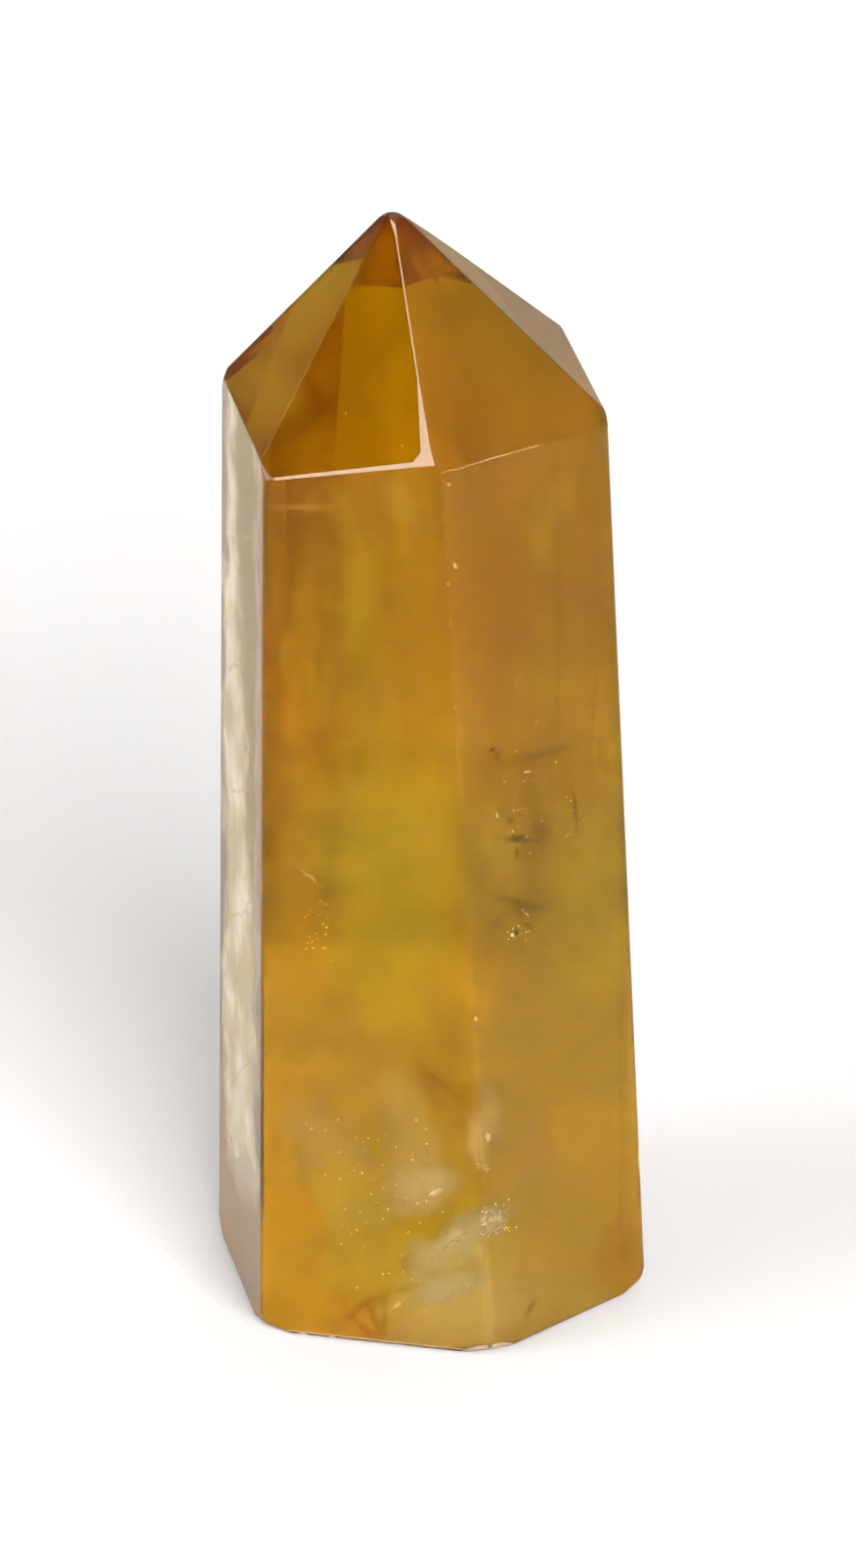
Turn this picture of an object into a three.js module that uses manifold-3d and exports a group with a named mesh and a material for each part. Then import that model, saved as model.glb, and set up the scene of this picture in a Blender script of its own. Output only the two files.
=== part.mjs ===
// A polished six-sided fluorite point: one piece of stone, ground flat on its base, with six tall
// side faces that lean in towards the top and six crown faces that meet at a rounded tip.
// Millimetres, +Z up. The stone stands on z = 0 with the middle of its outline over the origin.

import * as THREE from 'three';
import { mergeVertices } from 'three/addons/utils/BufferGeometryUtils.js';
import Module from 'manifold-3d';

// ---- Driving dimensions ---------------------------------------------------------------------

// Side faces, anticlockwise from the left one. The turn is the way the face looks, in degrees
// from +X. The reach is how far it lies from the grinding axis at the base, in millimetres.
// The lean is how far it tips in towards the axis, in degrees.
const SIDE_FACES = [
  { turn: -168, reach: 16.1, lean: 1.9 }, // left
  { turn: -105, reach: 15.6, lean: 0.9 }, // front
  { turn: -48.5, reach: 16.0, lean: 2.4 }, // right
  { turn: 11, reach: 15.6, lean: 1.5 }, // rear right
  { turn: 73, reach: 16.2, lean: 1.4 }, // rear
  { turn: 133, reach: 15.7, lean: 1.7 }, // rear left
];

// Crown faces in the same order. Each passes through the sharp tip, and its slope is measured
// from level, in degrees.
const CROWN_FACES = [
  { turn: -164.5, slope: 52.5 },
  { turn: -113.5, slope: 50.5 },
  { turn: -46.5, slope: 50.5 },
  { turn: 5, slope: 45.5 },
  { turn: 74.5, slope: 44 },
  { turn: 133, slope: 49.5 },
];

const SHARP_TIP = new THREE.Vector3(-1.4, -0.4, 90);
const TIP_RADIUS = 1.3;
const TIP_RINGS = [12, 26, 39];

// How far each kind of edge and corner is worn round by polishing
const SIDE_EDGE_RADIUS = 0.7;
const SHOULDER_RADIUS = 0.6;
const FRONT_SHOULDER_RADIUS = 0.15;
const RIDGE_RADIUS = 0.35;
const BASE_EDGE_RADIUS = 0.5;
const SHOULDER_CORNER_RADIUS = 1.3;
const BASE_CORNER_RADIUS = 1.4;

// Narrow ground facets meet in an L round the front crown face: down its right ridge, along its
// foot, and a small one over the corner where these two meet. Each of the first four is a flat
// that runs between two points of its edge, given as shares of the edge's length, and has one
// width at the first point and another at the second. The share says how much of the width lies
// on the front crown face.
const RIDGE_STRIP = { from: 0, to: 1, widths: [0.08, 0.14], share: 0.5 };
const TIP_FACET = { from: 0, to: 0.14, widths: [0.6, 0.12], share: 0.3 };
const RIDGE_FACET = { from: 0.66, to: 1, widths: [0.1, 0.88], share: 0.95 };
const FOOT_FACET = { from: 0, to: 1, widths: [0.2, 0.42], share: 0.5 };
const CORNER_FACET = { upRidge: 1.7, alongFoot: 1.7, sunk: 0.14 };

// Small shell-shaped nicks on the rim of the base. Each lies on one side of the base, at a
// share of the way along it, and is a ball of the given radius sunk to the given depth.
const BASE_NICKS = [
  { side: 1, along: 0.18, radius: 0.9, depth: 0.35 },
  { side: 1, along: 0.31, radius: 0.7, depth: 0.3 },
  { side: 1, along: 0.93, radius: 1.4, depth: 0.45 },
  { side: 2, along: 0.09, radius: 1.3, depth: 0.4 },
  { side: 4, along: 0.6, radius: 1.0, depth: 0.35 },
];

const STONE_COLOUR = 0xb4881c;
const STONE_ROUGHNESS = 0.06;

// ---- Cutting ----------------------------------------------------------------------------------

const wasm = await Module();
wasm.setup();

const SAW_SIZE = 300;
const BLANK_WIDTH = 60;
const BLANK_HEIGHT = 100;
const UP = new THREE.Vector3(0, 0, 1);

function toSolid(geometry) {
  const bare = geometry.clone();
  bare.deleteAttribute('normal');
  bare.deleteAttribute('uv');
  const merged = mergeVertices(bare, 1e-5);
  const vertProperties = new Float32Array(merged.attributes.position.array);
  const triVerts = new Uint32Array(merged.index.array);
  return new wasm.Manifold(new wasm.Mesh({ numProp: 3, vertProperties, triVerts }));
}

function toGeometry(solid) {
  const mesh = solid.getMesh();
  const geometry = new THREE.BufferGeometry();
  geometry.setAttribute('position', new THREE.BufferAttribute(mesh.vertProperties, mesh.numProp));
  geometry.setIndex(new THREE.BufferAttribute(mesh.triVerts, 1));
  return geometry;
}

// Everything past the face is taken off: the points where normal . point > reach
function grindFlat(solid, face) {
  const waste = new THREE.BoxGeometry(SAW_SIZE, SAW_SIZE, SAW_SIZE);
  waste.translate(0, 0, SAW_SIZE / 2 + face.reach);
  waste.applyQuaternion(new THREE.Quaternion().setFromUnitVectors(UP, face.normal));
  return solid.subtract(toSolid(waste));
}

// ---- Faces ------------------------------------------------------------------------------------

const radians = THREE.MathUtils.degToRad;

function outward(turn, tip) {
  const level = Math.cos(radians(tip));
  const x = level * Math.cos(radians(turn));
  const y = level * Math.sin(radians(turn));
  return new THREE.Vector3(x, y, Math.sin(radians(tip)));
}

function sideFace({ turn, reach, lean }) {
  return { normal: outward(turn, lean), reach: reach * Math.cos(radians(lean)) };
}

function crownFace({ turn, slope }) {
  const normal = outward(turn, 90 - slope);
  return { normal, reach: normal.dot(SHARP_TIP) };
}

const base = { normal: new THREE.Vector3(0, 0, -1), reach: 0 };
const sides = SIDE_FACES.map(sideFace);
const crown = CROWN_FACES.map(crownFace);
const before = (index) => (index + sides.length - 1) % sides.length;

// The point where three faces meet
function corner(a, b, c) {
  const rows = new THREE.Matrix3().set(...a.normal, ...b.normal, ...c.normal);
  return new THREE.Vector3(a.reach, b.reach, c.reach).applyMatrix3(rows.invert());
}

// A small flat that touches a ball of the given radius, itself touching all the faces named.
// The weights blend the faces' directions, so several of these together round an edge or corner.
function easedFlat(faces, weights, radius) {
  const normal = new THREE.Vector3();
  let reach = 0;
  faces.forEach((face, index) => {
    normal.addScaledVector(face.normal, weights[index]);
    reach += weights[index] * (face.reach - radius);
  });
  const length = normal.length();
  return { normal: normal.divideScalar(length), reach: reach / length + radius };
}

const easedEdge = (a, b, radius) =>
  [[2, 1], [1, 1], [1, 2]].map((weights) => easedFlat([a, b], weights, radius));

const easedCorner = (a, b, c, radius) =>
  [[1, 1, 1], [3, 1, 1], [1, 3, 1], [1, 1, 3], [2, 2, 1], [1, 2, 2], [2, 1, 2]].map((weights) =>
    easedFlat([a, b, c], weights, radius));

function flatThrough(first, second, third, outside) {
  const normal = second.clone().sub(first).cross(third.clone().sub(first)).normalize();
  if (normal.dot(outside) < 0) {
    normal.negate();
  }
  return { normal, reach: normal.dot(first) };
}

// A flat along the edge of two faces, of one width at one point and another further along
function taperedFlat(a, b, edgeStart, edgeEnd, { from, to, widths, share }) {
  const start = edgeStart.clone().lerp(edgeEnd, from);
  const end = edgeStart.clone().lerp(edgeEnd, to);
  const along = end.clone().sub(start).normalize();
  const onA = new THREE.Vector3().crossVectors(along, a.normal);
  const onB = new THREE.Vector3().crossVectors(b.normal, along);
  if (onA.dot(b.normal) > 0) {
    onA.negate();
    onB.negate();
  }
  onA.multiplyScalar(share);
  onB.multiplyScalar(1 - share);
  const spread = onA.distanceTo(onB);
  const first = start.clone().addScaledVector(onA, widths[0] / spread);
  const second = start.clone().addScaledVector(onB, widths[0] / spread);
  const third = end.clone().addScaledVector(onA, widths[1] / spread);
  return flatThrough(first, second, third, a.normal);
}

// ---- The stone ----------------------------------------------------------------------------------

function blank() {
  const block = new THREE.BoxGeometry(BLANK_WIDTH, BLANK_WIDTH, BLANK_HEIGHT);
  return toSolid(block.translate(0, 0, BLANK_HEIGHT / 2));
}

function groundFacets() {
  const [left, front] = sides;
  const [, frontCrown, rightCrown] = crown;
  const leftEnd = corner(frontCrown, front, left);
  const rightEnd = corner(frontCrown, front, rightCrown);
  const onRidge = [RIDGE_STRIP, TIP_FACET, RIDGE_FACET].map((facet) =>
    taperedFlat(frontCrown, rightCrown, SHARP_TIP, rightEnd, facet));
  const onFoot = taperedFlat(frontCrown, front, leftEnd, rightEnd, FOOT_FACET);
  return [...onRidge, onFoot, cornerFacet(frontCrown, leftEnd, rightEnd)];
}

function cornerFacet(face, leftEnd, rightEnd) {
  const { upRidge, alongFoot, sunk } = CORNER_FACET;
  const upward = SHARP_TIP.clone().sub(rightEnd).setLength(upRidge);
  const leftward = leftEnd.clone().sub(rightEnd).setLength(alongFoot);
  const first = rightEnd.clone().add(upward);
  const second = rightEnd.clone().add(leftward);
  const third = rightEnd.clone().addScaledVector(face.normal, -sunk);
  return flatThrough(first, second, third, face.normal);
}

function wornEdges() {
  return sides.flatMap((side, index) => {
    const last = before(index);
    const isFront = index === 1;
    const shoulderRadius = isFront ? FRONT_SHOULDER_RADIUS : SHOULDER_RADIUS;
    return [
      ...easedEdge(sides[last], side, SIDE_EDGE_RADIUS),
      ...easedEdge(crown[last], crown[index], RIDGE_RADIUS),
      ...easedEdge(side, crown[index], shoulderRadius),
      ...easedEdge(side, base, BASE_EDGE_RADIUS),
    ];
  });
}

function wornCorners() {
  const brightCorner = 2;
  return sides.flatMap((side, index) => {
    const last = before(index);
    const foot = easedCorner(sides[last], side, base, BASE_CORNER_RADIUS);
    if (index === brightCorner) {
      return foot;
    }
    const shoulder = easedCorner(sides[last], side, crown[index], SHOULDER_CORNER_RADIUS);
    return [...foot, ...shoulder];
  });
}

function wornTip() {
  const meanSlope = CROWN_FACES.reduce((sum, face) => sum + face.slope, 0) / CROWN_FACES.length;
  const depth = TIP_RADIUS / Math.cos(radians(meanSlope));
  const middle = SHARP_TIP.clone().addScaledVector(UP, -depth);
  const touching = (normal) => ({ normal, reach: normal.dot(middle) + TIP_RADIUS });
  const rings = TIP_RINGS.flatMap((tilt) =>
    CROWN_FACES.map(({ turn }) => touching(outward(turn, 90 - tilt))));
  return [touching(UP.clone()), ...rings];
}

function baseNick({ side, along, radius, depth }) {
  const next = (side + 1) % sides.length;
  const start = corner(sides[before(side)], sides[side], base);
  const end = corner(sides[side], sides[next], base);
  const inward = sides[side].normal.clone().add(base.normal).normalize();
  const middle = start.lerp(end, along).addScaledVector(inward, radius - depth);
  const ball = new THREE.IcosahedronGeometry(radius, 1);
  return toSolid(ball.translate(middle.x, middle.y, middle.z));
}

function makeStone() {
  const faces = [...sides, ...crown, ...groundFacets(), ...wornEdges(), ...wornCorners()];
  let stone = blank();
  for (const face of [...faces, ...wornTip()]) {
    stone = grindFlat(stone, face);
  }
  for (const nick of BASE_NICKS) {
    stone = stone.subtract(baseNick(nick));
  }
  return stone;
}

// The outline's middle comes over the origin and the base onto z = 0
function standOnOrigin(geometry) {
  geometry.computeBoundingBox();
  const { min, max } = geometry.boundingBox;
  return geometry.translate(-(min.x + max.x) / 2, -(min.y + max.y) / 2, -min.z);
}

const stoneMaterial = new THREE.MeshStandardMaterial({
  color: STONE_COLOUR,
  roughness: STONE_ROUGHNESS,
  metalness: 0,
});

const crystalPoint = new THREE.Mesh(standOnOrigin(toGeometry(makeStone())), stoneMaterial);
crystalPoint.name = 'crystal_point';

const fluoritePoint = new THREE.Group();
fluoritePoint.add(crystalPoint);

export default fluoritePoint;
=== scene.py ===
import math
import random

import bmesh
import bpy
from mathutils import Matrix, Quaternion, Vector, noise
from mathutils.bvhtree import BVHTree


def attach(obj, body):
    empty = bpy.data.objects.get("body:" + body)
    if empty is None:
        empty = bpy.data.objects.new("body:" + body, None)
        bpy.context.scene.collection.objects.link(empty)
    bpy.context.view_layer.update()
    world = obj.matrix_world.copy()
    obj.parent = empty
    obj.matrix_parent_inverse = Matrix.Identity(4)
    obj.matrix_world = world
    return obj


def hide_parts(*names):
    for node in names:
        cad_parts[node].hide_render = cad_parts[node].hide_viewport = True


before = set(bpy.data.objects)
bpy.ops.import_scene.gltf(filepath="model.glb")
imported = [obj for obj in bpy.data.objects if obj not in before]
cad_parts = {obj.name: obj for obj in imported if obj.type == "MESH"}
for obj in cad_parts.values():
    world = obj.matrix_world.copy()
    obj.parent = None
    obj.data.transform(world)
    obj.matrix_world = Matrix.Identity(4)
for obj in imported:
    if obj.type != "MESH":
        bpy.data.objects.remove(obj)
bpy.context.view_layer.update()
scene = bpy.context.scene
mm = 0.001
noiseSeed = 5
noise.seed_set(noiseSeed)  # without it the noises that give vectors start from the clock

cameraView = {
    "elevation": 23.77,  # degrees above level
    "distance": 0.5,
    "nearest": 0.01,
    "lens": 145.8,  # mm, as the sensor's longer side is
    "sensor": 36,
    "target": (0.00064, -0.00034, 0.04185),
    "roll": -1.2,  # degrees
    "pixels": (876, 1605),  # places inside the stone are given in this frame
}


def towardsCamera(elevation):
    tilt = math.radians(elevation)
    return Vector((0, -math.cos(tilt), math.sin(tilt)))


def placeCamera(view):
    data = bpy.data.cameras.new("camera")
    data.lens = view["lens"]
    data.sensor_width = view["sensor"]
    data.clip_start = view["nearest"]
    camera = bpy.data.objects.new("camera", data)
    scene.collection.objects.link(camera)
    back = towardsCamera(view["elevation"])
    camera.location = Vector(view["target"]) + back * view["distance"]
    upright = (-back).to_track_quat("-Z", "Y")
    camera.rotation_mode = "QUATERNION"
    camera.rotation_quaternion = Quaternion(-back, -math.radians(view["roll"])) @ upright
    scene.camera = camera
    return camera


camera = placeCamera(cameraView)
print("camera placed")


def objectFrom(name, mesh):
    thing = bpy.data.objects.new(name, mesh)
    scene.collection.objects.link(thing)
    return thing


def feedSocket(tree, socket, value):
    # a socket takes either a link or a plain value
    if isinstance(value, bpy.types.NodeSocket):
        tree.links.new(value, socket)
    elif isinstance(value, tuple) and len(value) == 3 and socket.type == "RGBA":
        socket.default_value = (*value, 1)
    else:
        socket.default_value = value


class Nodes:
    # a node tree, with short ways to add nodes to it
    def __init__(self, tree):
        self.tree = tree

    def add(self, kind, inputs=None, **settings):
        node = self.tree.nodes.new(kind)
        for key, value in settings.items():
            setattr(node, key, value)
        for key, value in (inputs or {}).items():
            feedSocket(self.tree, self.socket(node, key), value)
        return node

    def socket(self, node, key):
        # a node can have inputs of one name for several kinds of value, with one of them in use
        if isinstance(key, int):
            return node.inputs[key]
        return [socket for socket in node.inputs if socket.name == key and socket.enabled][0]

    def maths(self, operation, *values):
        return self.add("ShaderNodeMath", dict(enumerate(values)), operation=operation).outputs["Value"]

    def vector(self, operation, a, b):
        return self.add("ShaderNodeVectorMath", {0: a, 1: b}, operation=operation).outputs["Vector"]

    def scaled(self, vector, share):
        inputs = {0: vector, "Scale": share}
        return self.add("ShaderNodeVectorMath", inputs, operation="SCALE").outputs["Vector"]

    def dot(self, a, b):
        return self.add("ShaderNodeVectorMath", {0: a, 1: b}, operation="DOT_PRODUCT").outputs["Value"]

    def spread(self, value, low, high, start=0.0, end=1.0, curve="LINEAR"):
        inputs = {"Value": value, "From Min": low, "From Max": high, "To Min": start, "To Max": end}
        return self.add("ShaderNodeMapRange", inputs, interpolation_type=curve).outputs["Result"]


class Finish(Nodes):
    # a material's nodes
    def __init__(self, name):
        self.material = bpy.data.materials.new(name)
        self.material.use_nodes = True
        super().__init__(self.material.node_tree)
        self.shader = self.tree.nodes["Principled BSDF"]
        self.output = self.tree.nodes["Material Output"]

    def set(self, **values):
        for key, value in values.items():
            feedSocket(self.tree, self.shader.inputs[key.replace("_", " ")], value)

    def place(self):
        return self.add("ShaderNodeTexCoord").outputs["Object"]

    def attribute(self, name, output="Fac"):
        return self.add("ShaderNodeAttribute", attribute_name=name).outputs[output]

    def mix(self, share, low, high, kind="RGBA"):
        inputs = {"Factor": share, "A": low, "B": high}
        return self.add("ShaderNodeMix", inputs, data_type=kind).outputs["Result"]

    def cloud(self, place, scale, detail, low, high):
        inputs = {"Vector": place, "Scale": scale, "Detail": detail}
        return self.spread(self.add("ShaderNodeTexNoise", inputs).outputs["Fac"], low, high)

    def slantedLine(self, height, across, first, second, along):
        # how far a point lies above the line through two points of an upright face
        slope = (second.z - first.z) / (second - first).dot(along)
        line = self.maths("MULTIPLY_ADD", across, slope, first.z - slope * first.dot(along))
        return self.maths("SUBTRACT", height, line)

    def bump(self, height, strength, distance):
        inputs = {"Height": height, "Strength": strength, "Distance": distance}
        return self.add("ShaderNodeBump", inputs).outputs["Normal"]


stoneShape = {
    "leastMainFace": 60 * mm * mm,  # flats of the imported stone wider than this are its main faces
    "crownRise": 0.3,  # main faces that look up more than this are the crown's, 1 straight up
    "leftFacing": 0.9,  # and the one that looks left more than this is the left side
    "block": 300 * mm,  # what the stone is cut from
    # radii that polishing has worn, in mm, for the six sides from the left one round
    "sideEdges": (0.7, 0.7, 0.07, 0.7, 0.7, 0.7),
    "shoulders": (0.6, 0.12, 0.3, 0.6, 0.6, 0.6),
    "ridges": (0.35, 0.35, 0.1, 0.35, 0.35, 0.35),
    "baseEdge": 0.45 * mm,
    "shoulderCorner": 1.3 * mm,
    "sharpShoulder": 2,  # the shoulder corner that the corner flat takes off instead
    "baseCorner": 1.4 * mm,
    "edgeSteps": 6,
    "tip": 1.3 * mm,
    "tipRings": 6,
    "tipStep": 6.3,  # degrees from ring to ring; past 38 in all they would cut the rear ridge
    "tipFlats": (6, 24),  # how many more each ring has, and the most
    # nicks on the rim of the base: the side, the share of the way along it, radius and depth
    "nicks": [
        (1, 0.18, 0.9 * mm, 0.35 * mm),
        (1, 0.31, 0.7 * mm, 0.30 * mm),
        (1, 0.93, 1.4 * mm, 0.45 * mm),
        (2, 0.09, 1.3 * mm, 0.40 * mm),
        (4, 0.60, 1.0 * mm, 0.35 * mm),
    ],
    "nickGround": 0.6,  # how ground a nick looks, where a ground flat is 1
    # ground flats: from and to are shares of the edge, with a width at each, and share is the
    # part of the width that lies on the front crown face
    "ridgeFlats": [
        {"from": 0, "to": 1, "widths": (0.11 * mm, 0.15 * mm), "share": 0.92},
        {"from": 0, "to": 0.12, "widths": (0.6 * mm, 0.15 * mm), "share": 0.8},
        {"from": 0.66, "to": 1, "widths": (0.1 * mm, 0.88 * mm), "share": 0.95},
    ],
    "footFlat": {"from": 0, "to": 1, "widths": (0.2 * mm, 0.42 * mm), "share": 0.5},
    "cornerFlat": {"upRidge": 1.7 * mm, "alongFoot": 1.7 * mm, "sunk": 0.14 * mm},
}

# how near two flats count as one, a face as part of a ground flat, and as part of a nick's ball
sameWay = 0.99999  # cosine between the directions
samePlane = 0.02 * mm
onPlane = 0.002 * mm
onBall = 0.12  # share of the radius
cutMerge = 1e-8


class Flat:
    def __init__(self, normal, reach):
        self.normal = normal
        self.reach = reach


def mainFlats(node, leastArea):
    groups = []
    for face in node.data.polygons:
        normal = (node.matrix_world.to_3x3() @ face.normal).normalized()
        reach = normal.dot(node.matrix_world @ face.center)
        for group in groups:
            if group[0].dot(normal) > sameWay and abs(group[1] - reach) < samePlane:
                group[2] += face.area
                break
        else:
            groups.append([normal, reach, face.area])
    return [Flat(normal, reach) for normal, reach, area in groups if area > leastArea]


def compass(flat):
    return math.atan2(flat.normal.y, flat.normal.x)


def sortFlats(flats, crownRise):
    # the left side comes first, then anticlockwise round the stone
    base = [flat for flat in flats if flat.normal.z < -crownRise][0]
    sides = [flat for flat in flats if abs(flat.normal.z) < crownRise]
    crown = [flat for flat in flats if flat.normal.z > crownRise]
    return base, sorted(sides, key=compass), sorted(crown, key=compass)


def meetingPoint(*flats):
    rows = Matrix([flat.normal for flat in flats])
    return rows.inverted() @ Vector([flat.reach for flat in flats])


def easedFlat(flats, weights, radius):
    # touches a ball of this radius that itself touches all the flats
    normal = Vector()
    reach = 0.0
    for flat, weight in zip(flats, weights):
        normal += flat.normal * weight
        reach += (flat.reach - radius) * weight
    return Flat(normal.normalized(), reach / normal.length + radius)


def roundedEdge(a, b, radius, steps):
    shares = [(step + 0.5) / steps for step in range(steps)]
    return [easedFlat([a, b], (1 - share, share), radius) for share in shares]


def roundedCorner(a, b, c, radius, steps):
    flats = []
    for i in range(1, steps):
        for j in range(1, steps - i):
            k = steps - i - j
            flats.append(easedFlat([a, b, c], (i, j, k), radius))
    return flats


def flatThrough(first, second, third, outside):
    normal = (second - first).cross(third - first).normalized()
    if normal.dot(outside) < 0:
        normal.negate()
    return Flat(normal, normal.dot(first))


def taperedFlat(a, b, edgeStart, edgeEnd, facet):
    # runs along the edge of two faces, of one width at one point and another further along
    start = edgeStart.lerp(edgeEnd, facet["from"])
    end = edgeStart.lerp(edgeEnd, facet["to"])
    along = (end - start).normalized()
    onA = along.cross(a.normal)
    onB = b.normal.cross(along)
    if onA.dot(b.normal) > 0:
        onA.negate()
        onB.negate()
    onA *= facet["share"]
    onB *= 1 - facet["share"]
    spread = (onA - onB).length
    first = start + onA * (facet["widths"][0] / spread)
    second = start + onB * (facet["widths"][0] / spread)
    third = end + onA * (facet["widths"][1] / spread)
    return flatThrough(first, second, third, a.normal)


def cornerFlat(face, tip, leftEnd, rightEnd, facet):
    first = rightEnd + (tip - rightEnd).normalized() * facet["upRidge"]
    second = rightEnd + (leftEnd - rightEnd).normalized() * facet["alongFoot"]
    third = rightEnd - face.normal * facet["sunk"]
    return flatThrough(first, second, third, face.normal)


def roundedTip(tip, crown, shape):
    radius = shape["tip"]
    more, most = shape["tipFlats"]
    meanRise = sum(flat.normal.z for flat in crown) / len(crown)
    middle = tip - Vector((0, 0, radius / meanRise))
    flats = [Flat(Vector((0, 0, 1)), middle.z + radius)]
    for ring in range(1, shape["tipRings"] + 1):
        tilt = math.radians(ring * shape["tipStep"])
        count = min(more * ring, most)
        for step in range(count):
            turn = math.tau * step / count
            level = math.sin(tilt)
            normal = Vector((level * math.cos(turn), level * math.sin(turn), math.cos(tilt)))
            flats.append(Flat(normal, normal.dot(middle) + radius))
    return flats


def grindFlat(bm, flat):
    parts = bm.verts[:] + bm.edges[:] + bm.faces[:]
    place = flat.normal * flat.reach
    cut = bmesh.ops.bisect_plane(
        bm, geom=parts, dist=cutMerge, plane_co=place, plane_no=flat.normal, clear_outer=True
    )
    rim = [part for part in cut["geom_cut"] if isinstance(part, bmesh.types.BMEdge)]
    if len(rim) > 2:
        bmesh.ops.edgeloop_fill(bm, edges=rim)


def stoneFlats(shape):
    flats = mainFlats(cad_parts["crystal_point"], shape["leastMainFace"])
    base, sides, crown = sortFlats(flats, shape["crownRise"])
    left, front = sides[:2]
    tip = meetingPoint(*crown[::2])
    rightEnd = meetingPoint(crown[1], front, crown[2])
    leftEnd = meetingPoint(crown[1], front, left)
    ground = [taperedFlat(crown[1], crown[2], tip, rightEnd, facet) for facet in shape["ridgeFlats"]]
    ground.append(taperedFlat(crown[1], front, leftEnd, rightEnd, shape["footFlat"]))
    ground.append(cornerFlat(crown[1], tip, leftEnd, rightEnd, shape["cornerFlat"]))
    polished = [base] + sides + crown
    steps = shape["edgeSteps"]
    for index, side in enumerate(sides):
        last = index - 1
        polished += roundedEdge(sides[last], side, shape["sideEdges"][index] * mm, steps)
        polished += roundedEdge(crown[last], crown[index], shape["ridges"][index] * mm, steps)
        polished += roundedEdge(side, crown[index], shape["shoulders"][index] * mm, steps)
        polished += roundedEdge(side, base, shape["baseEdge"], steps)
        polished += roundedCorner(sides[last], side, base, shape["baseCorner"], steps)
        if index != shape["sharpShoulder"]:
            polished += roundedCorner(sides[last], side, crown[index], shape["shoulderCorner"], steps)
    polished += roundedTip(tip, crown, shape)
    return polished, ground, nickPlaces(base, sides, shape["nicks"])


def nickPlaces(base, sides, nicks):
    places = []
    for side, along, radius, depth in nicks:
        last, this, following = sides[side - 1], sides[side], sides[(side + 1) % len(sides)]
        start = meetingPoint(last, this, base)
        end = meetingPoint(this, following, base)
        outward = (this.normal + base.normal).normalized()
        places.append((start.lerp(end, along) + outward * (radius - depth), radius))
    return places


def onFlat(face, flat):
    off = face.center.dot(flat.normal) - flat.reach
    return face.normal.dot(flat.normal) > sameWay and abs(off) < onPlane


def onNick(face, nicks):
    return any(abs((face.center - middle).length - radius) < onBall * radius for middle, radius in nicks)


def smoothWear(mesh, ground, nicks, shape):
    # wide faces keep their own direction, and the narrow worn flats between them blend
    sharp = {face.index for face in mesh.polygons if any(onFlat(face, flat) for flat in ground)}
    chipped = {face.index for face in mesh.polygons if onNick(face, nicks)}
    wide = {face.index for face in mesh.polygons if face.area > shape["leastMainFace"]}
    blended = [Vector() for _ in mesh.vertices]
    for face in mesh.polygons:
        if face.index not in sharp:
            for vertex in face.vertices:
                blended[vertex] += face.normal * face.area
    normals = [Vector()] * len(mesh.loops)
    mark = mesh.attributes.new("groundFlat", "FLOAT", "FACE")
    leftSide = mesh.attributes.new("leftSide", "FLOAT", "FACE")
    for face in mesh.polygons:
        own = face.index in sharp | chipped | wide
        for loop in face.loop_indices:
            blend = blended[mesh.loops[loop].vertex_index]
            normals[loop] = face.normal if own or blend.length == 0 else blend.normalized()
        if face.index in sharp:
            mark.data[face.index].value = 1
        elif face.index in chipped:
            mark.data[face.index].value = shape["nickGround"]
        leftSide.data[face.index].value = float(face.normal.x < -shape["leftFacing"])
        face.use_smooth = True
    mesh.normals_split_custom_set(normals)
    print("ground flats marked:", len(sharp), "and nick faces:", len(chipped))


def makeNicks(nicks):
    bm = bmesh.new()
    for middle, radius in nicks:
        bmesh.ops.create_icosphere(bm, subdivisions=2, radius=radius, matrix=Matrix.Translation(middle))
    mesh = bpy.data.meshes.new("nicks")
    bm.to_mesh(mesh)
    bm.free()
    return objectFrom("nicks", mesh)


def makeStone(shape):
    polished, ground, nicks = stoneFlats(shape)
    bm = bmesh.new()
    bmesh.ops.create_cube(bm, size=shape["block"])
    for flat in polished + ground:
        grindFlat(bm, flat)
    bmesh.ops.recalc_face_normals(bm, faces=bm.faces[:])
    mesh = bpy.data.meshes.new("unchipped_point")
    bm.to_mesh(mesh)
    bm.free()
    stone = objectFrom("polished_point", mesh)
    cutter = makeNicks(nicks)
    chip = stone.modifiers.new("chip", "BOOLEAN")
    chip.operation = "DIFFERENCE"
    chip.solver = "EXACT"
    chip.object = cutter
    chipped = stone.evaluated_get(bpy.context.evaluated_depsgraph_get())
    mesh = bpy.data.meshes.new_from_object(chipped)
    stone.modifiers.clear()
    stone.data = mesh
    mesh.name = "polished_point"
    bpy.data.objects.remove(cutter)
    smoothWear(mesh, ground, nicks, shape)
    print("stone has", len(mesh.polygons), "faces")
    return stone


stone = makeStone(stoneShape)
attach(stone, "root")
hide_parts("crystal_point")
print("stone made")

refraction = 1.434  # index of fluorite
rayStart = 0.001 * mm
thinStone = 3 * mm
stoneTree = BVHTree.FromObject(stone, bpy.context.evaluated_depsgraph_get())


def bendInto(ray, normal, ior):
    along = -ray.dot(normal)
    squared = 1 - (1 - along * along) / (ior * ior)
    return ray / ior + normal * (along / ior - math.sqrt(squared))


def insideAt(x, y, depth):
    # the point that shows at this place of the camera's frame, this far behind the polished face,
    # or less far where the stone is thin
    wide, tall = cameraView["pixels"]
    focal = cameraView["lens"] / cameraView["sensor"] * tall
    ray = (camera.rotation_quaternion @ Vector((x - wide / 2, tall / 2 - y, -focal))).normalized()
    spot, normal = stoneTree.ray_cast(camera.location, ray)[:2]
    if spot is None:
        return None
    inward = bendInto(ray, normal, refraction)
    wayOut = stoneTree.ray_cast(spot + inward * rayStart, inward)[3] or 0
    return spot + inward * min(depth, wayOut * depth / (depth + thinStone))


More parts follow.
